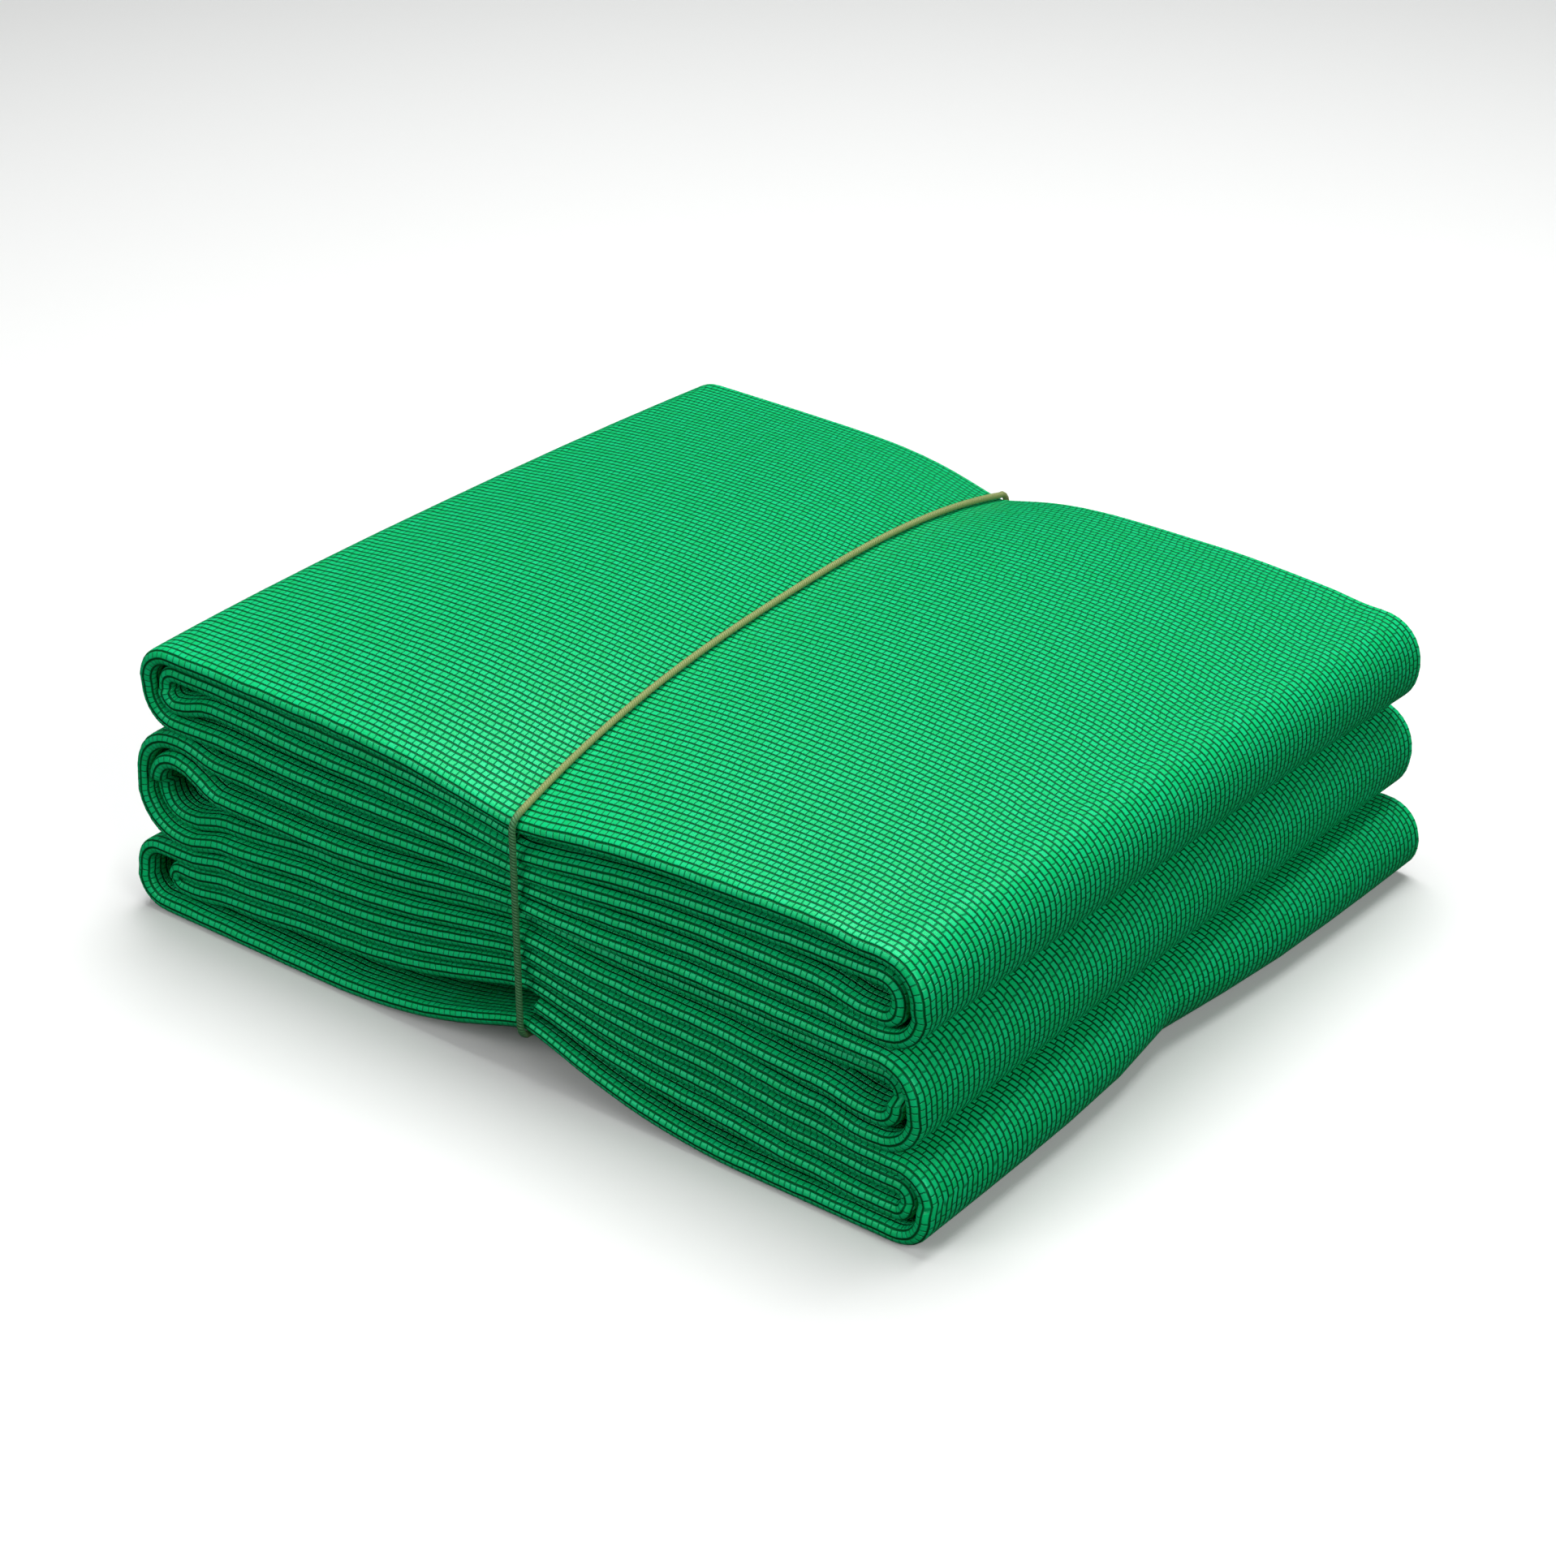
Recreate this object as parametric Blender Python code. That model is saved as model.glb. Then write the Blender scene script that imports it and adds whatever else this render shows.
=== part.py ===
"""Knitted shade cloth, folded into a flat bundle and held by one tie.

The cloth is one strip, doubled lengthwise, that runs back and forth through three
flattened rolls, so that both ends show an outer turn round an inner one. X runs along
the layered front face, Y from the front folds to the back edges, and Z up. The origin
is on the ground under the middle of the bundle.
"""
import math
from typing import NamedTuple

import bpy

MM = 0.001

# Bundle, in millimetres
DEPTH = 308.0
CLOTH_HALF_LOFT = 3.2
GRIPPED_HALF_LOFT = 2.55
FRONT_ROUND = 2.6
BACK_ROUND = 1.0

# Distances from the middle at which the table of layers gives its heights
MID_X = 85.0
THROAT_X = 132.0
END_X = 152.0

# Tie, in millimetres: it crosses the bundle a little askew
TIE_RADIUS = 1.2
TIE_GAP = 0.35
TIE_CENTRE_X = -1.2
TIE_SKEW = -0.073
TIE_CORNER = 3.4

# How far the grip of the tie reaches, and how strong it is halfway along its run
GRIP_REACH_FRONT = 42.0
GRIP_REACH_BACK = 28.0
GRIP_POWER = 1.4
GRIP_MIDDLE = 0.3
GRIP_EDGE_POWER = 3.0
GROUND_LIFT = 19.0
GROUND_CONTACT = 0.06

# Crown of the upper layers over the open middle of the bundle
CROWN = 0.105
CROWN_DEPTH_POWER = 2.4
CROWN_LENGTH = 172.0
CROWN_LENGTH_POWER = 3.0

# Fall of the layers towards the back, and more at the right end, as shares of their height
BACK_FALL = 0.02
BACK_RIGHT_FALL = 0.035
BACK_RIGHT_DRAW = 3.0

# Dent in the lowest turn of the right end
DENT_Y = 2.0
DENT_REACH = 38.0
DENT_INWARD = 8.0
DENT_LIFT = 4.0

# Squareness of a turn: 1 is an ellipse, less is squarer
TURN_SQUARENESS = 0.88
TURN_STEPS = 6

# Where a pass is sampled: distances from the tie, then distances from the middle
NEAR_TIE = (12.0, 30.0, 56.0)
FAR_FROM_TIE = (MID_X, 110.0, THROAT_X)
FREE_END_GAP = 4.0

# Distances of the sections from the front folds
SECTIONS = (0.0, 1.6, 6.5, 34.0, 76.0, 130.0, 186.0, 242.0, 288.0, 306.4, DEPTH)


class Layer(NamedTuple):
    """One pass of the strip: its heights at seven places, and how it stands in front."""

    name: str
    left_end: float
    left_throat: float
    left_mid: float
    waist: float
    right_mid: float
    right_throat: float
    right_end: float
    set_back: float


LAYERS = (
    Layer("top cover", 107.4, 107.4, 107.2, 97.2, 105.4, 106.0, 104.6, 0.0),
    Layer("top inner left", 100.2, 100.2, 99.4, 91.2, 100.0, 100.0, 100.0, 2.0),
    Layer("top inner", 88.0, 92.4, 90.4, 85.2, 94.6, 95.6, 95.8, 1.0),
    Layer("top lower", 80.4, 81.0, 79.6, 79.2, 85.8, 85.2, 81.8, 0.6),
    Layer("middle cover", 73.0, 69.4, 68.6, 73.0, 76.4, 75.6, 74.2, 1.2),
    Layer("middle inner", 65.6, 57.2, 57.0, 67.0, 67.6, 67.0, 66.6, 0.0),
    Layer("middle tongue", 41.0, 45.2, 48.8, 60.8, 59.0, 58.8, 59.0, 4.0),
    Layer("middle lower", 33.6, 37.8, 41.2, 54.6, 50.0, 47.6, 44.6, 0.5),
    Layer("bottom cover", 26.4, 29.8, 33.0, 48.4, 42.0, 38.4, 35.4, 0.8),
    Layer("bottom inner", 19.2, 22.2, 25.2, 42.2, 33.4, 29.6, 27.8, 1.6),
    Layer("bottom tongue", 11.8, 14.6, 17.6, 36.0, 24.6, 21.4, 20.4, 2.4),
    Layer("bottom tongue right", 9.6, 9.6, 10.4, 29.8, 15.4, 12.6, 11.2, 1.4),
    Layer("ground", 3.2, 3.2, 3.2, 21.6, 3.2, 3.2, 3.2, 0.0),
)
GROUND = len(LAYERS) - 1


class Turn(NamedTuple):
    """One bend of the strip at an end of the bundle, and how far out it reaches."""

    name: str
    side: int
    first: int
    second: int
    reach: float


# The strip in its order, from the free end inside the top roll to the one in the bottom roll
TURNS = (
    Turn("top inner left", -1, 1, 2, 157.2),
    Turn("top inner right", 1, 2, 3, 164.4),
    Turn("top outer left", -1, 3, 0, 164.9),
    Turn("top outer right", 1, 0, 4, 172.2),
    Turn("middle outer left", -1, 4, 7, 172.4),
    Turn("middle inner right", 1, 7, 6, 163.8),
    Turn("middle inner left", -1, 6, 5, 164.8),
    Turn("middle outer right", 1, 5, 8, 171.5),
    Turn("bottom outer left", -1, 8, GROUND, 176.3),
    Turn("bottom outer right", 1, GROUND, 9, 176.2),
    Turn("bottom inner left", -1, 9, 10, 161.0),
    Turn("bottom inner right", 1, 10, 11, 168.4),
)


def smooth(t):
    """Ease a share from 0 to 1 with level ends."""
    t = min(max(t, 0.0), 1.0)
    return t * t * (3.0 - 2.0 * t)


def blend(a, b, share):
    """Value between a and b."""
    return a + (b - a) * share


def back_share(y):
    """How far back a depth is: 0 at the front folds and 1 at the back edges."""
    return smooth(y / DEPTH + 0.5)


def tie_x(y):
    """Where the tie crosses the bundle at a depth."""
    return TIE_CENTRE_X + TIE_SKEW * y


def grip(x, y):
    """Share of the tie's grip at a place: strongest at the tie, near the front and the back."""
    edge = abs(2.0 * y / DEPTH) ** GRIP_EDGE_POWER
    strength = blend(GRIP_MIDDLE, 1.0, edge)
    reach = blend(GRIP_REACH_FRONT, GRIP_REACH_BACK, back_share(y))
    return strength * math.exp(-((abs(x - tie_x(y)) / reach) ** GRIP_POWER))


def crown(x, y):
    """How much the layers rise over the open middle of the bundle, as a factor."""
    along = 1.0 - min(abs(x) / CROWN_LENGTH, 1.0) ** CROWN_LENGTH_POWER
    across = 1.0 - abs(2.0 * y / DEPTH) ** CROWN_DEPTH_POWER
    return 1.0 + CROWN * along * across


def fall(x, y):
    """How much the layers sink towards the back and its right corner, as a factor."""
    right = smooth((x - MID_X) / (END_X - MID_X))
    return 1.0 - (BACK_FALL + BACK_RIGHT_FALL * right) * back_share(y)


def dent(y):
    """Share of the dent in the lowest right turn at a depth."""
    return math.exp(-abs(y - DENT_Y) / DENT_REACH)


def half_loft(x, y):
    """Half the thickness of the doubled cloth, which the tie presses thinner."""
    return blend(CLOTH_HALF_LOFT, GRIPPED_HALF_LOFT, grip(x, y))


def open_height(layer, x):
    """Height of a layer without the tie's grip."""
    away = abs(x)
    mid, throat, end = layer.right_mid, layer.right_throat, layer.right_end
    if x < 0.0:
        mid, throat, end = layer.left_mid, layer.left_throat, layer.left_end
    if away >= THROAT_X:
        return blend(throat, end, smooth((away - THROAT_X) / (END_X - THROAT_X)))
    if away >= MID_X:
        return blend(mid, throat, smooth((away - MID_X) / (THROAT_X - MID_X)))
    return blend(layer.left_mid, layer.right_mid, smooth((x + MID_X) / (2.0 * MID_X)))


def height(index, x, y):
    """Height of the middle of a layer above the ground."""
    layer = LAYERS[index]
    held = grip(x, y)
    if index == GROUND:
        share = max(held - GROUND_CONTACT, 0.0) / (1.0 - GROUND_CONTACT)
        return half_loft(x, y) + GROUND_LIFT * share
    return blend(open_height(layer, x), layer.waist, held) * crown(x, y) * fall(x, y)


def turn_shape(turn, y):
    """Where a turn starts along X, and how high and how deep it is."""
    reach = turn.reach
    if turn.side > 0 and GROUND not in (turn.first, turn.second):
        reach -= BACK_RIGHT_DRAW * back_share(y)
    if turn.name == "bottom outer right":
        reach -= DENT_INWARD * dent(y)
    elif turn.name == "bottom inner right":
        reach -= DENT_INWARD * dent(y)
    top = height(turn.first, turn.side * END_X, y)
    low = height(turn.second, turn.side * END_X, y)
    half = abs(top - low) / 2.0
    return turn.side * (reach - half), half


def turn_points(turn, y):
    """Middle line of one turn, from its first layer to its second, ends left out."""
    start_x, half = turn_shape(turn, y)
    first = height(turn.first, start_x, y)
    second = height(turn.second, start_x, y)
    centre = (first + second) / 2.0
    rise = (first - second) / 2.0
    lift = DENT_LIFT * dent(y) if GROUND in (turn.first, turn.second) and turn.side > 0 else 0.0
    points = []
    for step in range(1, TURN_STEPS):
        angle = math.pi * step / TURN_STEPS
        out = math.sin(angle) ** TURN_SQUARENESS
        up = math.copysign(abs(math.cos(angle)) ** TURN_SQUARENESS, math.cos(angle))
        low_side = math.sin(angle) if centre + rise * up < centre else 0.0
        points.append((start_x + turn.side * half * out, centre + rise * up + lift * low_side))
    return points


def pass_points(index, start_x, end_x, y):
    """Middle line of one layer from one place along X to another, both included."""
    across = tie_x(y)
    places = [across]
    for distance in NEAR_TIE:
        places += [across - distance, across + distance]
    for distance in FAR_FROM_TIE:
        places += [-distance, distance]
    low, high = min(start_x, end_x), max(start_x, end_x)
    inner = sorted(place for place in places if low + 2.0 < place < high - 2.0)
    if start_x > end_x:
        inner.reverse()
    return [(x, height(index, x, y)) for x in [start_x] + inner + [end_x]]


def strip_points(y):
    """Middle line of the whole strip at a depth, with the layer that each point is on."""
    across = tie_x(y)
    line = []
    start_x = across - FREE_END_GAP
    for turn in TURNS:
        end_x = turn_shape(turn, y)[0]
        line += [(x, z, turn.first) for x, z in pass_points(turn.first, start_x, end_x, y)]
        turn_line = turn_points(turn, y)
        for step, (x, z) in enumerate(turn_line):
            index = turn.first if 2 * step < len(turn_line) else turn.second
            line.append((x, z, index))
        start_x = end_x
    last = TURNS[-1].second
    line += [(x, z, last) for x, z in pass_points(last, start_x, across + FREE_END_GAP, y)]
    return line


def edge_share(distance, roundness):
    """Share of the loft left where the cloth rounds off near an edge."""
    if distance >= roundness:
        return 1.0
    return max(math.sqrt(1.0 - (1.0 - distance / roundness) ** 2), 0.35)


def section(depth):
    """Upper and lower outline of the strip at a distance from the front folds."""
    y = depth - DEPTH / 2.0
    line = strip_points(y)
    share = min(edge_share(depth, FRONT_ROUND), edge_share(DEPTH - depth, BACK_ROUND))
    upper, lower = [], []
    for place, (x, z, index) in enumerate(line):
        before = line[max(place - 1, 0)]
        after = line[min(place + 1, len(line) - 1)]
        along_x, along_z = after[0] - before[0], after[1] - before[1]
        length = math.hypot(along_x, along_z)
        normal_x, normal_z = -along_z / length, along_x / length
        loft = half_loft(x, y) * share
        set_back = LAYERS[index].set_back * max(1.0 - depth / 40.0, 0.0)
        upper.append((x + normal_x * loft, y + set_back, z + normal_z * loft))
        lower.append((x - normal_x * loft, y + set_back, z - normal_z * loft))
    return upper, lower


def add_mesh(name, points, faces, material):
    """Make one object from points in millimetres and its faces."""
    mesh = bpy.data.meshes.new(name)
    mesh.from_pydata([tuple(c * MM for c in point) for point in points], [], faces)
    mesh.update()
    mesh.shade_smooth()
    mesh.set_sharp_from_angle(angle=math.radians(50.0))
    mesh.materials.append(material)
    item = bpy.data.objects.new(name, mesh)
    bpy.context.scene.collection.objects.link(item)
    return item


def make_cloth(material):
    """Folded cloth: the strip's outline joined from section to section and closed."""
    points, loops = [], []
    for depth in SECTIONS:
        upper, lower = section(depth)
        first = len(points)
        points += upper + lower[::-1]
        loops.append(range(first, len(points)))
    faces = []
    count = len(loops[0])
    for near, far in zip(loops, loops[1:]):
        for k in range(count):
            after = (k + 1) % count
            faces.append((near[k], near[after], far[after], far[k]))
    half = count // 2
    for loop, turned in ((loops[0], False), (loops[-1], True)):
        for k in range(half - 1):
            face = (loop[k], loop[count - 1 - k], loop[count - 2 - k], loop[k + 1])
            faces.append(face[::-1] if turned else face)
    return add_mesh("folded_cloth", points, faces, material)


def tie_route():
    """Middle line of the tie as a closed loop of points, in millimetres."""
    stand_off = TIE_RADIUS + TIE_GAP
    front_y = -DEPTH / 2.0 - stand_off
    corner_y = front_y + TIE_CORNER + stand_off
    depths = [corner_y + (-2.0 * corner_y) * step / 22.0 for step in range(23)]
    route = []
    for y in depths:
        x = tie_x(y)
        route.append((x, y, height(0, x, y) + half_loft(x, y) + stand_off))
    top_front, top_back = route[0], route[-1]
    under = []
    for y in depths:
        x = tie_x(y)
        under.append((x, y, height(GROUND, x, y) - half_loft(x, y) - stand_off))
    route += corner(top_back, under[-1], -1.0)
    route += under[::-1]
    route += corner(under[0], top_front, 1.0)
    return route


def corner(start, end, outward):
    """Run of the tie round an edge of the bundle, from one face to the other."""
    radius = TIE_CORNER + TIE_RADIUS + TIE_GAP
    side = -1.0 if outward > 0.0 else 1.0
    down = -1.0 if start[2] > end[2] else 1.0
    x = tie_x(start[1] + side * radius)
    points = []
    for step in (1, 2):
        angle = math.radians(90.0 - 45.0 * step)
        points.append((x, start[1] + side * radius * math.cos(angle),
                       start[2] + down * radius * (1.0 - math.sin(angle))))
    low, high = start[2] + down * radius, end[2] - down * radius
    for step in range(1, 8):
        points.append((x, start[1] + side * radius, blend(low, high, step / 8.0)))
    for step in (2, 1):
        angle = math.radians(90.0 - 45.0 * step)
        points.append((x, end[1] + side * radius * math.cos(angle),
                       end[2] - down * radius * (1.0 - math.sin(angle))))
    return points


def make_tie(material):
    """Tie: a round cord in one closed loop round the bundle."""
    curve = bpy.data.curves.new("tie", "CURVE")
    curve.dimensions = "3D"
    curve.bevel_depth = TIE_RADIUS * MM
    curve.bevel_resolution = 2
    route = tie_route()
    spline = curve.splines.new("POLY")
    spline.points.add(len(route) - 1)
    for point, place in zip(spline.points, route):
        point.co = (place[0] * MM, place[1] * MM, place[2] * MM, 1.0)
    spline.use_cyclic_u = True
    spline.use_smooth = True
    curve.materials.append(material)
    item = bpy.data.objects.new("tie", curve)
    bpy.context.scene.collection.objects.link(item)
    return item


def make_material(name, colour, roughness):
    """One plain finish: linear colour and roughness."""
    material = bpy.data.materials.new(name)
    material.use_nodes = True
    shader = material.node_tree.nodes["Principled BSDF"]
    shader.inputs["Base Color"].default_value = (*colour, 1.0)
    shader.inputs["Roughness"].default_value = roughness
    shader.inputs["Metallic"].default_value = 0.0
    return material


def main():
    """Clear the scene and build the bundle."""
    for item in list(bpy.data.objects):
        bpy.data.objects.remove(item, do_unlink=True)
    make_cloth(make_material("green knitted net", (0.012, 0.48, 0.16), 0.45))
    make_tie(make_material("olive twine", (0.13, 0.21, 0.07), 0.6))


main()
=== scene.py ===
"""Looks of a folded bundle of knitted shade cloth, held by one twine tie.

The cloth is modelled as what it is: one thin knitted sheet, doubled lengthwise, that
runs back and forth through three flattened rolls on the same folds as its solid. X runs
along the layered front face, Y from the front folds to the back edges, and Z up. Shapes
are worked out in millimetres and stored in metres.
"""
from __future__ import annotations

import logging
import math
from dataclasses import dataclass
from enum import Enum
from typing import NamedTuple

import bpy
import numpy as np
from mathutils import Matrix, Vector

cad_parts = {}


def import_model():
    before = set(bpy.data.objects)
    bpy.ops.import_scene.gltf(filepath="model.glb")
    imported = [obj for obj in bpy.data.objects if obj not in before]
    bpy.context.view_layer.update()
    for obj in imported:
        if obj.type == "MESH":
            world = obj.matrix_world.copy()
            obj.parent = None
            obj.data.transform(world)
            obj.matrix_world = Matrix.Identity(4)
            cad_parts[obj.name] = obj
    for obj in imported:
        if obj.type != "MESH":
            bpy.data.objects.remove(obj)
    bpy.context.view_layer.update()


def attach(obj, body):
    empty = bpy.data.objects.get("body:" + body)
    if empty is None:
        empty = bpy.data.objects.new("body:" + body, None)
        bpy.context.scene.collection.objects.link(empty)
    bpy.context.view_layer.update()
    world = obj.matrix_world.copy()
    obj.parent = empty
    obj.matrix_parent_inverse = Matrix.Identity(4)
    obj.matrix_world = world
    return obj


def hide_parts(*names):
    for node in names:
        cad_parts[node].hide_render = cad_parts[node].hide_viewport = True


LOG = logging.getLogger("shade_cloth")
MM = 0.001


class Side(Enum):
    """End of the bundle that a bend of the strip is at."""

    LEFT = -1
    RIGHT = 1


class Layer(NamedTuple):
    """One pass of the strip: its heights at seven places, and how far back its front fold is."""

    name: str
    left_end: float
    left_throat: float
    left_mid: float
    waist: float
    right_mid: float
    right_throat: float
    right_end: float
    set_back: float


LAYERS = (
    Layer("top cover", 107.4, 107.4, 107.2, 97.2, 105.4, 106.0, 104.6, 0.0),
    Layer("top inner left", 100.2, 100.2, 99.4, 91.2, 100.0, 100.0, 100.0, 2.0),
    Layer("top inner", 88.0, 92.4, 90.4, 85.2, 94.6, 95.6, 95.8, 1.0),
    Layer("top lower", 80.4, 81.0, 79.6, 79.2, 85.8, 85.2, 81.8, 0.6),
    Layer("middle cover", 73.0, 69.4, 68.6, 73.0, 76.4, 75.6, 74.2, 1.2),
    Layer("middle inner", 65.6, 57.2, 57.0, 67.0, 67.6, 67.0, 66.6, 0.0),
    Layer("middle tongue", 41.0, 45.2, 48.8, 60.8, 59.0, 58.8, 59.0, 4.0),
    Layer("middle lower", 33.6, 37.8, 41.2, 54.6, 50.0, 47.6, 44.6, 0.5),
    Layer("bottom cover", 26.4, 29.8, 33.0, 48.4, 42.0, 38.4, 35.4, 0.8),
    Layer("bottom inner", 19.2, 22.2, 25.2, 42.2, 33.4, 29.6, 27.8, 1.6),
    Layer("bottom tongue", 11.8, 14.6, 17.6, 36.0, 24.6, 21.4, 20.4, 2.4),
    Layer("bottom tongue right", 9.6, 9.6, 10.4, 29.8, 15.4, 12.6, 11.2, 1.4),
    Layer("ground", 3.2, 3.2, 3.2, 21.6, 3.2, 3.2, 3.2, 0.0),
)
TOP_COVER = 0
GROUND = len(LAYERS) - 1


class Turn(NamedTuple):
    """One bend of the strip at an end of the bundle, and how far out it reaches."""

    name: str
    side: Side
    first: int
    second: int
    reach: float


TURNS = (
    Turn("top inner left", Side.LEFT, 1, 2, 157.2),
    Turn("top inner right", Side.RIGHT, 2, 3, 164.4),
    Turn("top outer left", Side.LEFT, 3, TOP_COVER, 164.9),
    Turn("top outer right", Side.RIGHT, TOP_COVER, 4, 172.2),
    Turn("middle outer left", Side.LEFT, 4, 7, 172.4),
    Turn("middle inner right", Side.RIGHT, 7, 6, 163.8),
    Turn("middle inner left", Side.LEFT, 6, 5, 164.8),
    Turn("middle outer right", Side.RIGHT, 5, 8, 171.5),
    Turn("bottom outer left", Side.LEFT, 8, GROUND, 176.3),
    Turn("bottom outer right", Side.RIGHT, GROUND, 9, 176.2),
    Turn("bottom inner left", Side.LEFT, 9, 10, 161.0),
    Turn("bottom inner right", Side.RIGHT, 10, 11, 168.4),
)


def srgb(code: str) -> tuple[float, float, float, float]:
    """Turn a hex colour into a linear one.

    Args:
        code: the sRGB colour as "#RRGGBB".

    Returns:
        Linear red, green and blue, and a full alpha.
    """
    values = [int(code[k:k + 2], 16) / 255.0 for k in (1, 3, 5)]
    linear = [v / 12.92 if v <= 0.04045 else ((v + 0.055) / 1.055) ** 2.4 for v in values]
    return (linear[0], linear[1], linear[2], 1.0)


def smooth(share: np.ndarray | float) -> np.ndarray | float:
    """Ease a share from 0 to 1 with level ends."""
    share = np.clip(share, 0.0, 1.0)
    return share * share * (3.0 - 2.0 * share)


def blend(low: float, high: float, share: np.ndarray | float) -> np.ndarray | float:
    """Value between two others."""
    return low + (high - low) * share


def add_node(tree: bpy.types.NodeTree, kind: str, inputs: dict, **settings) -> bpy.types.Node:
    """Add one shader node with its settings, values and links.

    Args:
        tree: the material's node tree.
        kind: the node's type name.
        inputs: a value or an output socket for each input, by name or number.
        settings: properties of the node itself.

    Returns:
        The new node.
    """
    node = tree.nodes.new(kind)
    for name, value in settings.items():
        setattr(node, name, value)
    for key, value in inputs.items():
        if isinstance(value, bpy.types.NodeSocket):
            tree.links.new(value, node.inputs[key])
        else:
            node.inputs[key].default_value = value
    return node


@dataclass(frozen=True)
class KnitFinish:
    """Knitted polyethylene tape: slick flat stitches in ribs, with deep lines between them."""

    name: str = "knitted polyethylene tape"
    rib_mm: float = 2.82
    stitch_mm: float = 2.6
    tape: str = "#06C06C"
    tape_pale: str = "#14D48C"
    groove: str = "#004416"
    gloss_tint: tuple[float, float, float, float] = (0.22, 1.0, 0.68, 1.0)
    relief_mm: float = 0.8
    roughness: float = 0.36
    ior: float = 1.51
    # Wander of the stitches: patches in a metre, and the shift along and across in metres
    wander_per_metre: float = 90.0
    wander_shift: tuple[float, float, float] = (0.0022, 0.0006, 0.0)
    # How much further on the stitches of each rib start, as a share of a stitch
    stitch_lag: float = 0.31
    # Where the dark line beside a rib ends and the tape is in full, from 0 to 1 at the rib's crest
    rib_edge: tuple[float, float] = (0.08, 0.62)
    seam_edge: float = 0.42
    seam_least: float = 0.45
    # Least height of a stitch, and the most of the pale colour that one has
    lie_least: float = 0.72
    pale_most: float = 0.5

    @staticmethod
    def humps(tree: bpy.types.NodeTree, count: bpy.types.NodeSocket) -> bpy.types.NodeSocket:
        """Fold a count into even humps: 0 at each whole number and 1 halfway between.

        Args:
            tree: the material's node tree.
            count: the socket that counts ribs or stitches.

        Returns:
            The socket with the humps.
        """
        angle = add_node(tree, "ShaderNodeMath", {0: count, 1: math.pi}, operation="MULTIPLY")
        wave = add_node(tree, "ShaderNodeMath", {0: angle.outputs[0]}, operation="SINE")
        return add_node(tree, "ShaderNodeMath", {0: wave.outputs[0]}, operation="ABSOLUTE").outputs[0]

    def material(self) -> bpy.types.Material:
        """Make the finish; it follows the sheet's own map, in metres along and across it."""
        material = bpy.data.materials.new(self.name)
        material.use_nodes = True
        tree = material.node_tree
        shader = tree.nodes["Principled BSDF"]
        weave = add_node(tree, "ShaderNodeUVMap", {}, uv_map="weave")
        # A soft wander, as long as a few stitches, keeps the rows from looking ruled
        wander = add_node(tree, "ShaderNodeTexNoise", {"Vector": weave.outputs[0], "Detail": 1.0,
                                                       "Scale": self.wander_per_metre},
                          noise_dimensions="2D")
        shift = add_node(tree, "ShaderNodeVectorMath", {0: wander.outputs["Color"], 1: (0.5, 0.5, 0.5)},
                         operation="SUBTRACT")
        shift = add_node(tree, "ShaderNodeVectorMath", {0: shift.outputs[0], 1: self.wander_shift},
                         operation="MULTIPLY")
        placed = add_node(tree, "ShaderNodeVectorMath", {0: weave.outputs[0], 1: shift.outputs[0]},
                          operation="ADD")
        per_metre = (1000.0 / self.stitch_mm, 1000.0 / self.rib_mm, 0.0)
        cells = add_node(tree, "ShaderNodeVectorMath", {0: placed.outputs[0], 1: per_metre},
                         operation="MULTIPLY")
        parts = add_node(tree, "ShaderNodeSeparateXYZ", {0: cells.outputs[0]})
        rib = add_node(tree, "ShaderNodeMath", {0: parts.outputs[1]}, operation="FLOOR")
        # Each rib's stitches start a little further on than those of the rib before
        step = add_node(tree, "ShaderNodeMath", {0: rib.outputs[0], 1: self.stitch_lag,
                                                 2: parts.outputs[0]}, operation="MULTIPLY_ADD")
        stitch = add_node(tree, "ShaderNodeMath", {0: step.outputs[0]}, operation="FLOOR")
        cell = add_node(tree, "ShaderNodeCombineXYZ", {0: stitch.outputs[0], 1: rib.outputs[0]})
        chance = add_node(tree, "ShaderNodeTexWhiteNoise", {"Vector": cell.outputs[0]},
                          noise_dimensions="2D")
        rib_body = add_node(tree, "ShaderNodeMapRange", {"Value": self.humps(tree, parts.outputs[1]),
                                                         "From Min": self.rib_edge[0],
                                                         "From Max": self.rib_edge[1]},
                            interpolation_type="SMOOTHSTEP")
        seam = add_node(tree, "ShaderNodeMapRange", {"Value": self.humps(tree, step.outputs[0]),
                                                     "From Min": 0.0, "From Max": self.seam_edge,
                                                     "To Min": self.seam_least},
                        interpolation_type="SMOOTHSTEP")
        body = add_node(tree, "ShaderNodeMath", {0: rib_body.outputs[0], 1: seam.outputs[0]},
                        operation="MULTIPLY")
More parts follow.
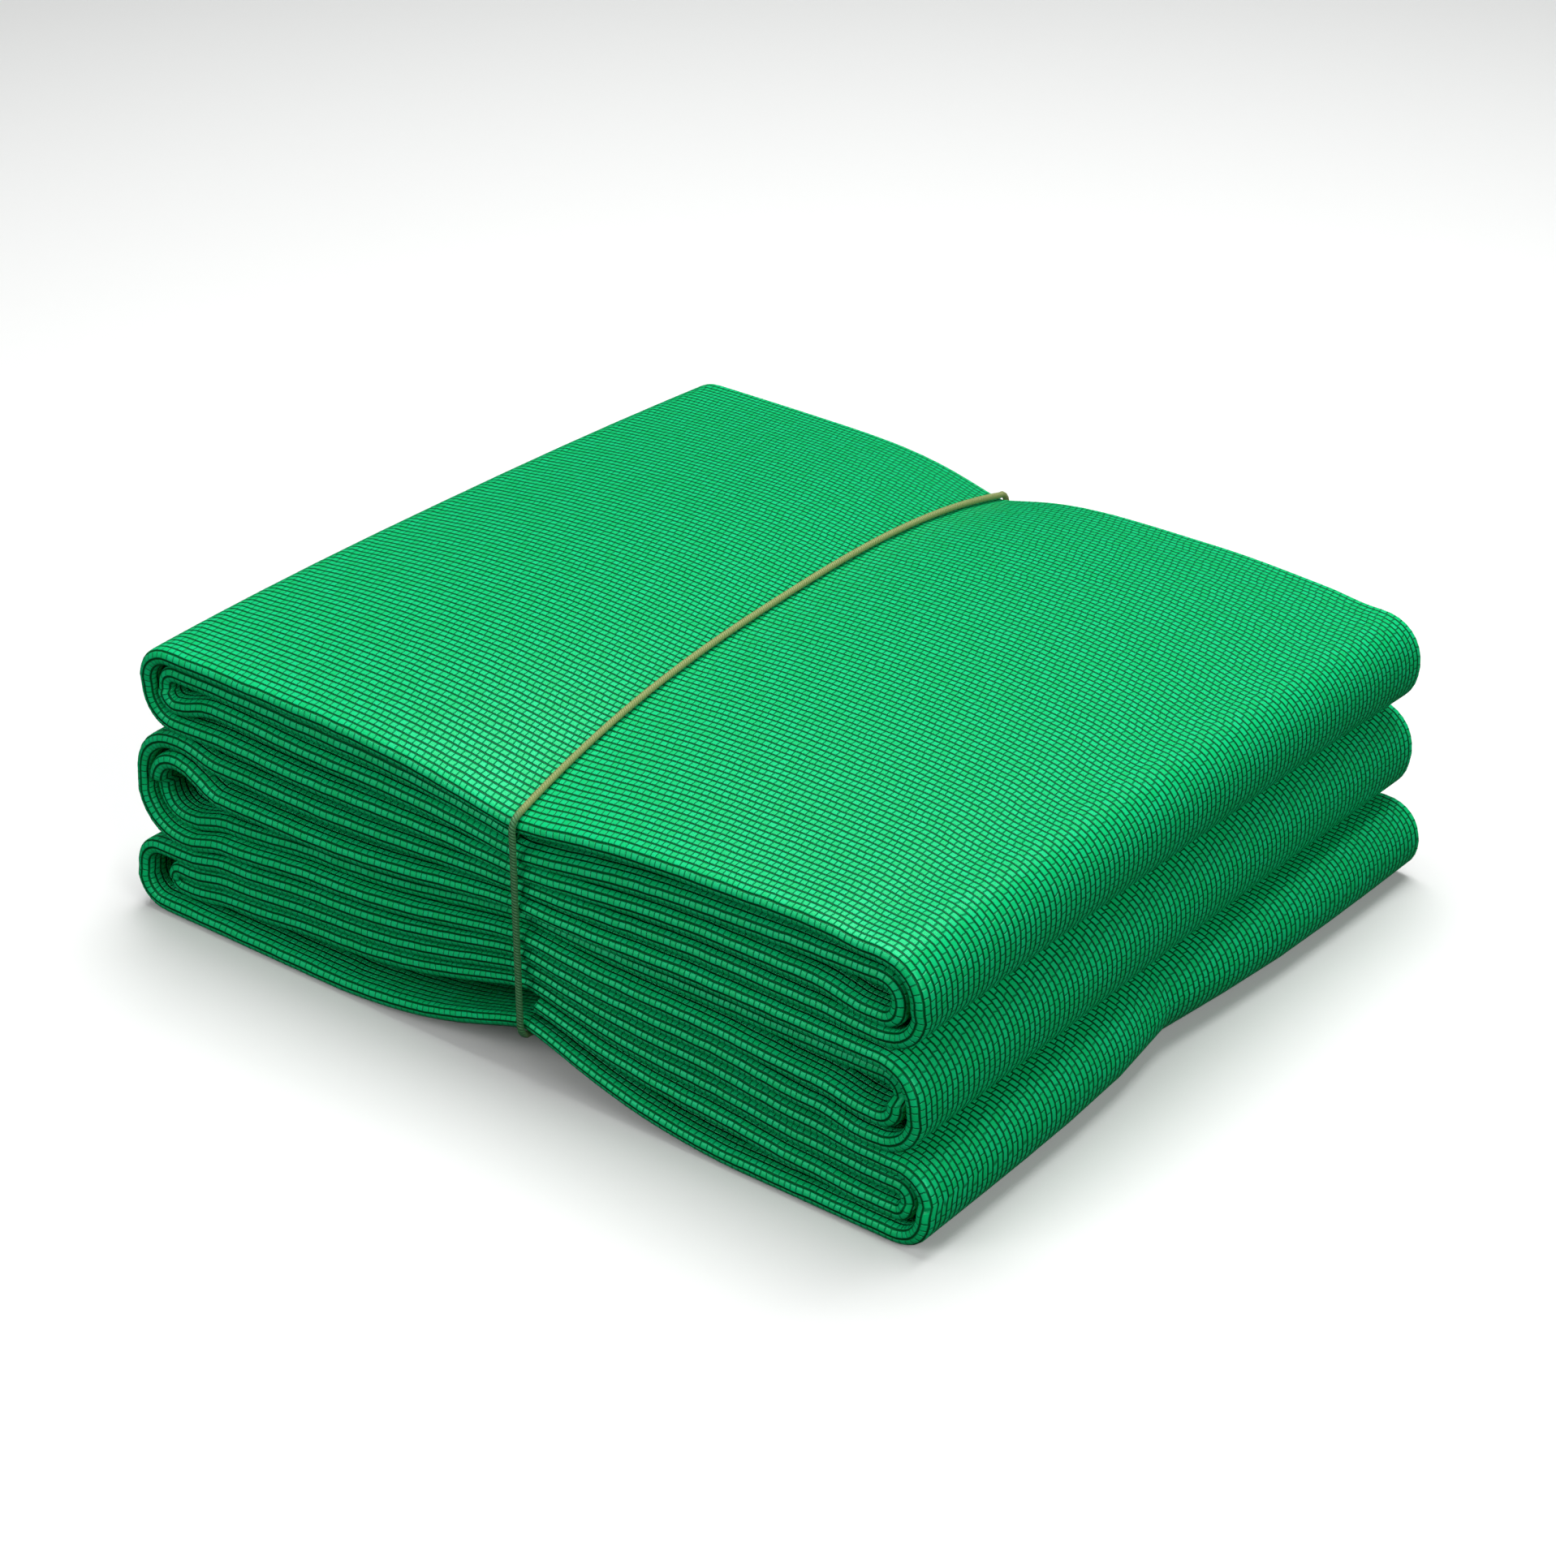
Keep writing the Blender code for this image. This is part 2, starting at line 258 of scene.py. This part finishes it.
        # Tape twist: each stitch lies a little higher or lower than the next
        lie = add_node(tree, "ShaderNodeMapRange", {"Value": chance.outputs[0], "To Min": self.lie_least})
        height = add_node(tree, "ShaderNodeMath", {0: body.outputs[0], 1: lie.outputs[0]},
                          operation="MULTIPLY")
        bump = add_node(tree, "ShaderNodeBump", {"Height": height.outputs[0], "Strength": 1.0,
                                                 "Distance": self.relief_mm * MM})
        tint = add_node(tree, "ShaderNodeMapRange", {"Value": chance.outputs[0], "To Max": self.pale_most})
        tape = add_node(tree, "ShaderNodeMix", {0: tint.outputs[0], "A": srgb(self.tape),
                                                "B": srgb(self.tape_pale)}, data_type="RGBA")
        colour = add_node(tree, "ShaderNodeMix", {0: body.outputs[0], "A": srgb(self.groove),
                                                  "B": tape.outputs[2]}, data_type="RGBA")
        tree.links.new(colour.outputs[2], shader.inputs["Base Color"])
        tree.links.new(bump.outputs[0], shader.inputs["Normal"])
        shader.inputs["Roughness"].default_value = self.roughness
        shader.inputs["IOR"].default_value = self.ior
        shader.inputs["Specular Tint"].default_value = self.gloss_tint
        return material


@dataclass(frozen=True)
class TwineFinish:
    """Thin twisted twine, dull and a little translucent; its front run is coloured darker and greener as
    painted shade and painted green reflection from the cloth.
    """

    name: str = "twisted twine"
    top: str = "#8E9A5C"
    # Painted shade and painted green reflection: this darker green on the front run stands in for light,
    # not for the twine's own colour
    front: str = "#3F7D4C"
    lay_mm: float = 3.4
    strands: float = 3.0
    strand_relief_mm: float = 0.25
    # Depths between which the colour turns from the front's painted shade and green reflection to the
    # top's own olive, in metres
    painted_shade_front_y: tuple[float, float] = (-0.156, -0.148)
    roughness: float = 0.55

    def material(self) -> bpy.types.Material:
        """Make the finish; its strands follow the twine's own map, in turns round and metres along."""
        material = bpy.data.materials.new(self.name)
        material.use_nodes = True
        tree = material.node_tree
        shader = tree.nodes["Principled BSDF"]
        run = add_node(tree, "ShaderNodeUVMap", {}, uv_map="run")
        parts = add_node(tree, "ShaderNodeSeparateXYZ", {0: run.outputs[0]})
        slant = add_node(tree, "ShaderNodeMath", {0: parts.outputs[1], 1: 1000.0 / self.lay_mm,
                                                  2: parts.outputs[0]}, operation="MULTIPLY_ADD")
        strand = add_node(tree, "ShaderNodeMath", {0: slant.outputs[0], 1: self.strands * math.pi},
                          operation="MULTIPLY")
        strand = add_node(tree, "ShaderNodeMath", {0: strand.outputs[0]}, operation="SINE")
        strand = add_node(tree, "ShaderNodeMath", {0: strand.outputs[0]}, operation="ABSOLUTE")
        bump = add_node(tree, "ShaderNodeBump", {"Height": strand.outputs[0],
                                                 "Distance": self.strand_relief_mm * MM})
        place = add_node(tree, "ShaderNodeTexCoord", {})
        spot = add_node(tree, "ShaderNodeSeparateXYZ", {0: place.outputs["Object"]})
        # Painted shade: the twine is coloured darker and greener at the front, chosen by its depth
        front = add_node(tree, "ShaderNodeMapRange", {"Value": spot.outputs[1],
                                                      "From Min": self.painted_shade_front_y[0],
                                                      "From Max": self.painted_shade_front_y[1]},
                         interpolation_type="SMOOTHSTEP")
        colour = add_node(tree, "ShaderNodeMix", {0: front.outputs[0], "A": srgb(self.front),
                                                  "B": srgb(self.top)}, data_type="RGBA")
        tree.links.new(colour.outputs[2], shader.inputs["Base Color"])
        tree.links.new(bump.outputs[0], shader.inputs["Normal"])
        shader.inputs["Roughness"].default_value = self.roughness
        return material


@dataclass(frozen=True)
class FoldShape:
    """How the strip lies: heights of its layers, its bends, and what the tie does to them."""

    depth: float = 308.0
    half_loft_open: float = 3.2
    half_loft_gripped: float = 2.55
    mid_x: float = 85.0
    throat_x: float = 132.0
    end_x: float = 152.0
    tie_centre_x: float = -1.2
    tie_skew: float = -0.073
    grip_reach_front: float = 42.0
    grip_reach_back: float = 28.0
    grip_power: float = 1.4
    grip_middle: float = 0.3
    grip_edge_power: float = 3.0
    ground_lift: float = 19.0
    ground_contact: float = 0.06
    crown_rise: float = 0.105
    crown_depth_power: float = 2.4
    crown_length: float = 172.0
    crown_length_power: float = 3.0
    back_fall: float = 0.02
    back_right_fall: float = 0.035
    back_right_draw: float = 3.0
    dent_y: float = 2.0
    dent_reach: float = 38.0
    dent_inward: float = 8.0
    dent_lift: float = 4.0
    squareness: float = 0.88

    def back_share(self, y: float) -> float:
        """How far back a depth is, from 0 at the front to 1 at the back."""
        return float(smooth(y / self.depth + 0.5))

    def tie_x(self, y: float) -> float:
        """Where the tie crosses the bundle at a depth."""
        return self.tie_centre_x + self.tie_skew * y

    def grip(self, x: np.ndarray, y: float) -> np.ndarray:
        """Share of the tie's grip along a layer at a depth."""
        edge = abs(2.0 * y / self.depth) ** self.grip_edge_power
        strength = blend(self.grip_middle, 1.0, edge)
        reach = blend(self.grip_reach_front, self.grip_reach_back, self.back_share(y))
        return strength * np.exp(-((np.abs(x - self.tie_x(y)) / reach) ** self.grip_power))

    def crown(self, x: np.ndarray, y: float) -> np.ndarray:
        """How much the layers rise over the open middle, as a factor."""
        length = np.minimum(np.abs(x) / self.crown_length, 1.0)
        across = 1.0 - abs(2.0 * y / self.depth) ** self.crown_depth_power
        return 1.0 + self.crown_rise * (1.0 - length ** self.crown_length_power) * across

    def fall(self, x: np.ndarray, y: float) -> np.ndarray:
        """How much the layers sink towards the back and its right corner, as a factor."""
        right = smooth((x - self.mid_x) / (self.end_x - self.mid_x))
        return 1.0 - (self.back_fall + self.back_right_fall * right) * self.back_share(y)

    def dent(self, y: float) -> float:
        """Share of the dent in the lowest right bend at a depth."""
        return math.exp(-abs(y - self.dent_y) / self.dent_reach)

    def half_loft(self, x: np.ndarray, y: float) -> np.ndarray:
        """Half the thickness of the doubled cloth."""
        return blend(self.half_loft_open, self.half_loft_gripped, self.grip(x, y))

    def open_height(self, layer: Layer, x: np.ndarray) -> np.ndarray:
        """Height of a layer without the tie's grip."""
        left = x < 0.0
        away = np.abs(x)
        mid = np.where(left, layer.left_mid, layer.right_mid)
        throat = np.where(left, layer.left_throat, layer.right_throat)
        end = np.where(left, layer.left_end, layer.right_end)
        inside = blend(layer.left_mid, layer.right_mid, smooth((x + self.mid_x) / (2.0 * self.mid_x)))
        middle = mid + (throat - mid) * smooth((away - self.mid_x) / (self.throat_x - self.mid_x))
        outer = throat + (end - throat) * smooth((away - self.throat_x) / (self.end_x - self.throat_x))
        return np.where(away >= self.throat_x, outer, np.where(away >= self.mid_x, middle, inside))

    def height(self, index: int, x: np.ndarray, y: float) -> np.ndarray:
        """Height of the middle of a layer above the ground.

        Args:
            index: the layer's row in the table.
            x: places along the front face, in millimetres.
            y: the depth, in millimetres from the middle of the bundle.

        Returns:
            One height for each place.
        """
        held = self.grip(x, y)
        layer = LAYERS[index]
        if index == GROUND:
            share = np.maximum(held - self.ground_contact, 0.0) / (1.0 - self.ground_contact)
            return self.half_loft(x, y) + self.ground_lift * share
        rest = self.open_height(layer, x)
        return (rest + (layer.waist - rest) * held) * self.crown(x, y) * self.fall(x, y)

    def turn_shape(self, turn: Turn, y: float) -> tuple[float, float]:
        """Where a bend starts along X, and half its height."""
        side = turn.side.value
        reach = turn.reach
        if side > 0 and GROUND not in (turn.first, turn.second):
            reach -= self.back_right_draw * self.back_share(y)
        if turn.name in ("bottom outer right", "bottom inner right"):
            reach -= self.dent_inward * self.dent(y)
        ends = np.array([side * self.end_x])
        top = float(self.height(turn.first, ends, y)[0])
        low = float(self.height(turn.second, ends, y)[0])
        half = abs(top - low) / 2.0
        return side * (reach - half), half

    def turn_line(self, turn: Turn, y: float, steps: int) -> np.ndarray:
        """Middle line of one bend, from its first layer to its second, ends left out."""
        side = turn.side.value
        start_x, half = self.turn_shape(turn, y)
        first = float(self.height(turn.first, np.array([start_x]), y)[0])
        second = float(self.height(turn.second, np.array([start_x]), y)[0])
        centre, rise = (first + second) / 2.0, (first - second) / 2.0
        angle = math.pi * np.arange(1, steps) / steps
        out = np.sin(angle) ** self.squareness
        up = np.sign(np.cos(angle)) * np.abs(np.cos(angle)) ** self.squareness
        z = centre + rise * up
        if side > 0 and GROUND in (turn.first, turn.second):
            z = z + np.where(z < centre, self.dent_lift * self.dent(y) * np.sin(angle), 0.0)
        return np.column_stack([start_x + side * half * out, z])


@dataclass
class ShadeCloth:
    """The cloth: one knitted sheet, doubled lengthwise, along the folds of its solid."""

    shape: FoldShape
    wall: float = 1.1
    fold_round: float = 2.9
    fold_steps: int = 4
    turn_steps: int = 16
    free_end_gap: float = 4.0
    near_tie: tuple[float, ...] = (1.5, 3.0, 5.0, 8.0, 12.0, 17.0, 23.0, 30.0, 38.0, 47.0)
    far_steps: int = 24
    rows: tuple[float, ...] = (9.0, 18.0, 34.0, 56.0, 84.0, 116.0, 150.0, 184.0, 218.0, 250.0,
                               278.0, 298.0, 308.0)
    # A fold that is set back in front is level with the others this far behind
    set_back_fade: float = 40.0
    # Behind this depth the back edges draw in unevenly, by this much and its spread
    ragged_from: float = 250.0
    ragged_inset: float = 1.6
    ragged_spread: float = 1.5
    ragged_step: float = 2.3
    # Width and length of the flat sheet in metres, known once it is built
    flat: tuple[float, float] = (0.0, 0.0)

    def pass_places(self, start_x: float, end_x: float, y: float) -> np.ndarray:
        """Places along one layer: close together at the tie, even from there to the bends.

        Args:
            start_x: where the layer starts.
            end_x: where it ends.
            y: the depth.

        Returns:
            The places in order, both ends included.
        """
        tie = self.shape.tie_x(y)
        way = 1.0 if end_x > start_x else -1.0
        last = self.near_tie[-1]
        places = []
        if abs(start_x - tie) > last:
            far = np.linspace(start_x, tie - way * last, self.far_steps, endpoint=False)
            places += [far, tie - way * np.array(self.near_tie[::-1]), [tie]]
        else:
            places.append([start_x])
        if abs(end_x - tie) > last:
            near = [d for d in self.near_tie if abs(start_x - tie) > last or d > self.free_end_gap]
            far = np.linspace(end_x, tie + way * last, self.far_steps, endpoint=False)[::-1]
            places += [tie + way * np.array(near), far]
        else:
            keep = [d for d in self.near_tie if d > self.free_end_gap]
            places = places[:1] + [tie - way * np.array(keep[::-1]), [end_x]]
        return np.concatenate([np.asarray(part, float) for part in places])

    def line(self, y: float) -> tuple[np.ndarray, np.ndarray]:
        """Middle line of the whole strip at a depth.

        Args:
            y: the depth.

        Returns:
            Its points (x, z), and the layer that each is on.
        """
        shape = self.shape
        points, owners = [], []
        start_x = shape.tie_x(y) - self.free_end_gap
        for turn in TURNS:
            end_x = shape.turn_shape(turn, y)[0]
            x = self.pass_places(start_x, end_x, y)
            points.append(np.column_stack([x, shape.height(turn.first, x, y)]))
            owners += [turn.first] * len(x)
            bend = shape.turn_line(turn, y, self.turn_steps)
            points.append(bend)
            owners += [turn.first if 2 * k < len(bend) else turn.second for k in range(len(bend))]
            start_x = end_x
        last = TURNS[-1].second
        x = self.pass_places(start_x, shape.tie_x(y) + self.free_end_gap, y)
        points.append(np.column_stack([x, shape.height(last, x, y)]))
        owners += [last] * len(x)
        return np.vstack(points), np.array(owners)

    def ring(self) -> list[tuple[float, float, float, float]]:
        """Section across the doubled sheet: depth, share of loft, side and distance from the fold."""
        outer, inner = [], []
        quarter = [math.pi / 2.0 * k / self.fold_steps for k in range(self.fold_steps + 1)]
        arc = self.fold_round * math.pi / 2.0
        for depth in reversed(self.rows):
            outer.append((depth, 1.0, 1.0, arc + depth - self.fold_round))
        for angle in reversed(quarter[1:]):
            outer.append((self.fold_round * (1.0 - math.cos(angle)), math.sin(angle), 1.0,
                          arc * angle / quarter[-1]))
        mirrored = [(depth, share, -side, -reach) for depth, share, side, reach in reversed(outer)]
        outer = outer + [(0.0, 0.0, 1.0, 0.0)] + mirrored
        hollow = self.fold_round - self.wall
        for depth, share, side, reach in outer:
            if depth < self.fold_round + 0.01:
                depth = self.wall + depth * hollow / self.fold_round
            inner.append((depth, share, 0.5 * side, reach))
        return outer + inner[::-1]

    def build(self, material: bpy.types.Material) -> bpy.types.Object:
        """Make the sheet's closed mesh with its map.

        Args:
            material: the cloth's finish.

        Returns:
            The cloth.
        """
        ring = self.ring()
        runs = []
        for depth, share, side, _reach in ring:
            runs.append(self.surface_line(depth, share, math.copysign(1.0, side), abs(side) < 1.0))
        grid = np.stack(runs, axis=1)
        count, width = grid.shape[:2]
        centre = self.line(0.0)[0]
        length = np.concatenate([[0.0], np.cumsum(np.linalg.norm(np.diff(centre, axis=0), axis=1))])
        vertices = grid.reshape(-1, 3) * MM
        k = np.arange(count - 1)[:, None] * width
        j = np.arange(width)[None, :]
        after = (j + 1) % width
        quads = np.stack([k + j, k + after, k + width + after, k + width + j], axis=-1).reshape(-1, 4)
        half = width // 2
        low = np.arange(half - 1)
        cap = np.column_stack([low, width - 1 - low, width - 2 - low, low + 1])
        end_cap = (cap + (count - 1) * width)[:, ::-1]
        faces = np.vstack([quads, cap, end_cap])
        mesh = bpy.data.meshes.new("shade_cloth")
        mesh.from_pydata(vertices.tolist(), [], faces.tolist())
        across = np.array([reach for *_rest, reach in ring])
        place = np.stack(np.broadcast_arrays(length[:, None], across[None, :]), axis=-1).reshape(-1, 2)
        self.map_sheet(mesh, place * MM)
        mesh.update()
        mesh.shade_smooth()
        mesh.set_sharp_from_angle(angle=math.radians(60.0))
        mesh.materials.append(material)
        cloth = bpy.data.objects.new("shade_cloth", mesh)
        bpy.context.scene.collection.objects.link(cloth)
        self.flat = (2.0 * (self.shape.depth + (math.pi / 2.0 - 1.0) * self.fold_round) * MM,
                     float(length[-1]) * MM)
        return cloth

    def surface_line(self, depth: float, share: float, side: float, inner: bool) -> np.ndarray:
        """One long line of the sheet's outer or inner surface.

        Args:
            depth: its distance from the front folds.
            share: share of the loft there, less than 1 round the fold.
            side: 1 above the middle line and -1 below it.
            inner: whether it is on the inner surface.

        Returns:
            Its points, in millimetres.
        """
        y = depth - self.shape.depth / 2.0
        points, owners = self.line(y)
        along = np.vstack([points[1:], points[-1:]]) - np.vstack([points[:1], points[:-1]])
        along /= np.linalg.norm(along, axis=1)[:, None]
        loft = self.shape.half_loft(points[:, 0], y) - (self.wall if inner else 0.0)
        normal = np.column_stack([-along[:, 1], along[:, 0]])
        moved = points + normal * (loft * share * side)[:, None]
        set_back = np.array([layer.set_back for layer in LAYERS])[owners]
        inset = self.ragged_inset + self.ragged_spread * np.sin(self.ragged_step * owners)
        back = max(depth - self.ragged_from, 0.0) / (self.shape.depth - self.ragged_from)
        deep = y + set_back * max(1.0 - depth / self.set_back_fade, 0.0) - inset * back
        return np.column_stack([moved[:, 0], deep, moved[:, 1]])

    @staticmethod
    def map_sheet(mesh: bpy.types.Mesh, place: np.ndarray) -> None:
        """Store where each corner lies on the flat sheet, in metres."""
        layer = mesh.uv_layers.new(name="weave")
        corners = np.zeros(len(mesh.loops), dtype=np.int32)
        mesh.loops.foreach_get("vertex_index", corners)
        layer.data.foreach_set("uv", place[corners].astype(np.float32).ravel())


@dataclass
class Tie:
    """The tie: one round twine in a closed loop round the bundle, a little askew."""

    shape: FoldShape
    radius: float = 1.2
    gap: float = 0.35
    corner_round: float = 3.4
    sides: int = 12

    def corner(self, start: tuple[float, ...], end: tuple[float, ...],
               side: float) -> list[tuple[float, ...]]:
        """Run of the twine round the front or the back of the bundle.

        Args:
            start: where the run begins, on the top or the underside.
            end: where it ends, on the other one.
            side: -1 at the front and 1 at the back.

        Returns:
            Its points, in order.
        """
        bend = self.corner_round + self.radius + self.gap
        down = -1.0 if start[2] > end[2] else 1.0
        x = self.shape.tie_x(start[1] + side * bend)
        turn = [math.radians(angle) for angle in (67.5, 45.0, 22.5, 0.0)]
        points = [(x, start[1] + side * bend * math.cos(a), start[2] + down * bend * (1.0 - math.sin(a)))
                  for a in turn]
        low, high = start[2] + down * bend, end[2] - down * bend
        points += [(x, start[1] + side * bend, blend(low, high, k / 16.0)) for k in range(1, 16)]
        points += [(x, end[1] + side * bend * math.cos(a), end[2] - down * bend * (1.0 - math.sin(a)))
                   for a in reversed(turn)]
        return points

    def route(self) -> np.ndarray:
        """Middle line of the twine as a closed loop, in millimetres."""
        stand_off = self.radius + self.gap
        corner_y = -self.shape.depth / 2.0 + self.corner_round
        over, under = [], []
        for y in np.linspace(corner_y, -corner_y, 60):
            x = self.shape.tie_x(y)
            place = np.array([x])
            loft = float(self.shape.half_loft(place, y)[0])
            over.append((x, y, float(self.shape.height(TOP_COVER, place, y)[0]) + loft + stand_off))
            under.append((x, y, float(self.shape.height(GROUND, place, y)[0]) - loft - stand_off))
        loop = over + self.corner(over[-1], under[-1], 1.0) + under[::-1]
        return np.array(loop + self.corner(under[0], over[0], -1.0))

    def build(self, material: bpy.types.Material) -> bpy.types.Object:
        """Make the twine's tube with its map.

        Args:
            material: the twine's finish.

        Returns:
            The tie.
        """
        route = self.route()
        count = len(route)
        along = np.roll(route, -1, axis=0) - np.roll(route, 1, axis=0)
        along /= np.linalg.norm(along, axis=1)[:, None]
        across = np.tile(np.array([1.0, 0.0, 0.0]), (count, 1))
        across -= along * np.sum(across * along, axis=1)[:, None]
        across /= np.linalg.norm(across, axis=1)[:, None]
        other = np.cross(along, across)
        angle = 2.0 * math.pi * np.arange(self.sides) / self.sides
        circle = (across[:, None, :] * np.cos(angle)[None, :, None]
                  + other[:, None, :] * np.sin(angle)[None, :, None])
        points = (route[:, None, :] + circle * self.radius).reshape(-1, 3) * MM
        k = np.arange(count)[:, None]
        j = np.arange(self.sides)[None, :]
        next_k, next_j = (k + 1) % count, (j + 1) % self.sides
        faces = np.stack([k * self.sides + j, k * self.sides + next_j, next_k * self.sides + next_j,
                          next_k * self.sides + j], axis=-1).reshape(-1, 4)
        mesh = bpy.data.meshes.new("twine_tie")
        mesh.from_pydata(points.tolist(), [], faces.tolist())
        steps = np.linalg.norm(np.roll(route, -1, axis=0) - route, axis=1)
        length = np.concatenate([[0.0], np.cumsum(steps)]) * MM
        around = np.stack(np.broadcast_arrays(j / self.sides, (j + 1) / self.sides, (j + 1) / self.sides,
                                              j / self.sides), axis=-1)
        around = np.broadcast_to(around, (count, self.sides, 4))
        first, second = length[:-1][:, None], length[1:][:, None]
        down = np.stack(np.broadcast_arrays(first, first, second, second), axis=-1)
        down = np.broadcast_to(down, (count, self.sides, 4))
        layer = mesh.uv_layers.new(name="run")
        place = np.stack([around, down], axis=-1).reshape(-1, 2)
        layer.data.foreach_set("uv", place.astype(np.float32).ravel())
        mesh.update()
        mesh.shade_smooth()
        mesh.materials.append(material)
        tie = bpy.data.objects.new("twine_tie", mesh)
        bpy.context.scene.collection.objects.link(tie)
        return tie


class Softbox(NamedTuple):
    """One square light that faces the bundle: its place and size in metres, and its watts."""

    name: str
    place: tuple[float, float, float]
    size: float
    power: float


SOFTBOXES = (
    Softbox("top softbox", (-0.1, 0.35, 1.6), 1.3, 30.0),
    Softbox("front softbox", (-0.5, -1.6, 1.0), 1.2, 14.0),
    Softbox("right softbox", (1.7, -0.5, 1.0), 1.2, 20.0),
)


@dataclass(frozen=True)
class Studio:
    """Pale floor, soft light and the camera at the photo's angle."""

    image_width: float = 1917.0
    image_height: float = 1932.0
    azimuth_deg: float = 38.185
    elevation_deg: float = 30.636
    distance: float = 1.37449
    focal_px: float = 4592.3
    shift_px: tuple[float, float] = (4.25, 126.35)
    target: tuple[float, float, float] = (-0.0005, 0.0, 0.0)
    floor: str = "#F4F5F4"
    floor_size: float = 30.0
    floor_z: float = -0.0005
    # Strength of the sky low and high in it, and the rises of the view where it has them
    sky_low: float = 0.45
    sky_high: float = 0.85
    sky_rise: tuple[float, float] = (-0.25, 0.6)

    def camera(self) -> bpy.types.Object:
        """Add the camera and make it the scene's."""
        az, el = math.radians(self.azimuth_deg), math.radians(self.elevation_deg)
        way = Vector((math.sin(az) * math.cos(el), -math.cos(az) * math.cos(el), math.sin(el)))
        data = bpy.data.cameras.new("camera")
        data.sensor_width = 36.0
        data.lens = self.focal_px / self.image_height * data.sensor_width
        data.shift_x = -self.shift_px[0] / self.image_height
        data.shift_y = self.shift_px[1] / self.image_height
        data.clip_start = 0.05
        data.clip_end = 50.0
        camera = bpy.data.objects.new("camera", data)
        turn = way.to_track_quat("Z", "Y").to_matrix().to_4x4()
        camera.matrix_world = Matrix.Translation(Vector(self.target) + way * self.distance) @ turn
        bpy.context.scene.collection.objects.link(camera)
        bpy.context.scene.camera = camera
        return camera

    @staticmethod
    def light(softbox: Softbox) -> None:
        """Add one soft square light that faces the bundle."""
        data = bpy.data.lights.new(softbox.name, "AREA")
        data.shape = "SQUARE"
        data.size = softbox.size
        data.energy = softbox.power
        lamp = bpy.data.objects.new(softbox.name, data)
        lamp.location = softbox.place
        lamp.rotation_euler = Vector(softbox.place).to_track_quat("Z", "Y").to_euler()
        bpy.context.scene.collection.objects.link(lamp)

    def stage(self) -> None:
        """Add the floor, the lights and an even pale sky."""
        bpy.ops.object.select_all(action="DESELECT")
        bpy.ops.mesh.primitive_plane_add(size=self.floor_size, location=(0.0, 0.0, self.floor_z))
        floor = bpy.context.object
        floor.name = "floor"
        material = bpy.data.materials.new("matt pale floor")
        material.use_nodes = True
        shader = material.node_tree.nodes["Principled BSDF"]
        shader.inputs["Base Color"].default_value = srgb(self.floor)
        shader.inputs["Roughness"].default_value = 0.9
        floor.data.materials.append(material)
        floor.visible_diffuse = False
        floor.visible_glossy = False
        world = bpy.data.worlds.new("even sky")
        world.use_nodes = True
        tree = world.node_tree
        way = add_node(tree, "ShaderNodeTexCoord", {})
        parts = add_node(tree, "ShaderNodeSeparateXYZ", {0: way.outputs["Generated"]})
        rise = add_node(tree, "ShaderNodeMapRange", {"Value": parts.outputs[2],
                                                     "From Min": self.sky_rise[0],
                                                     "From Max": self.sky_rise[1],
                                                     "To Min": self.sky_low, "To Max": self.sky_high})
        tree.links.new(rise.outputs[0], tree.nodes["Background"].inputs["Strength"])
        bpy.context.scene.world = world
        for softbox in SOFTBOXES:
            self.light(softbox)
        bpy.context.scene.view_settings.view_transform = "Standard"


def main() -> None:
    """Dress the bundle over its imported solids."""
    logging.basicConfig(level=logging.INFO, format="%(name)s: %(message)s")
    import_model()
    shape = FoldShape()
    cloth = ShadeCloth(shape)
    sheet = cloth.build(KnitFinish().material())
    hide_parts("folded_cloth")
    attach(sheet, "root")
    LOG.info("cloth: %d faces, flat %.3f x %.3f m", len(sheet.data.polygons), *cloth.flat)
    twine = Tie(shape).build(TwineFinish().material())
    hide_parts("tie")
    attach(twine, "root")
    LOG.info("tie: %d faces", len(twine.data.polygons))
    studio = Studio()
    studio.stage()
    studio.camera()


if __name__ == "__main__":
    main()
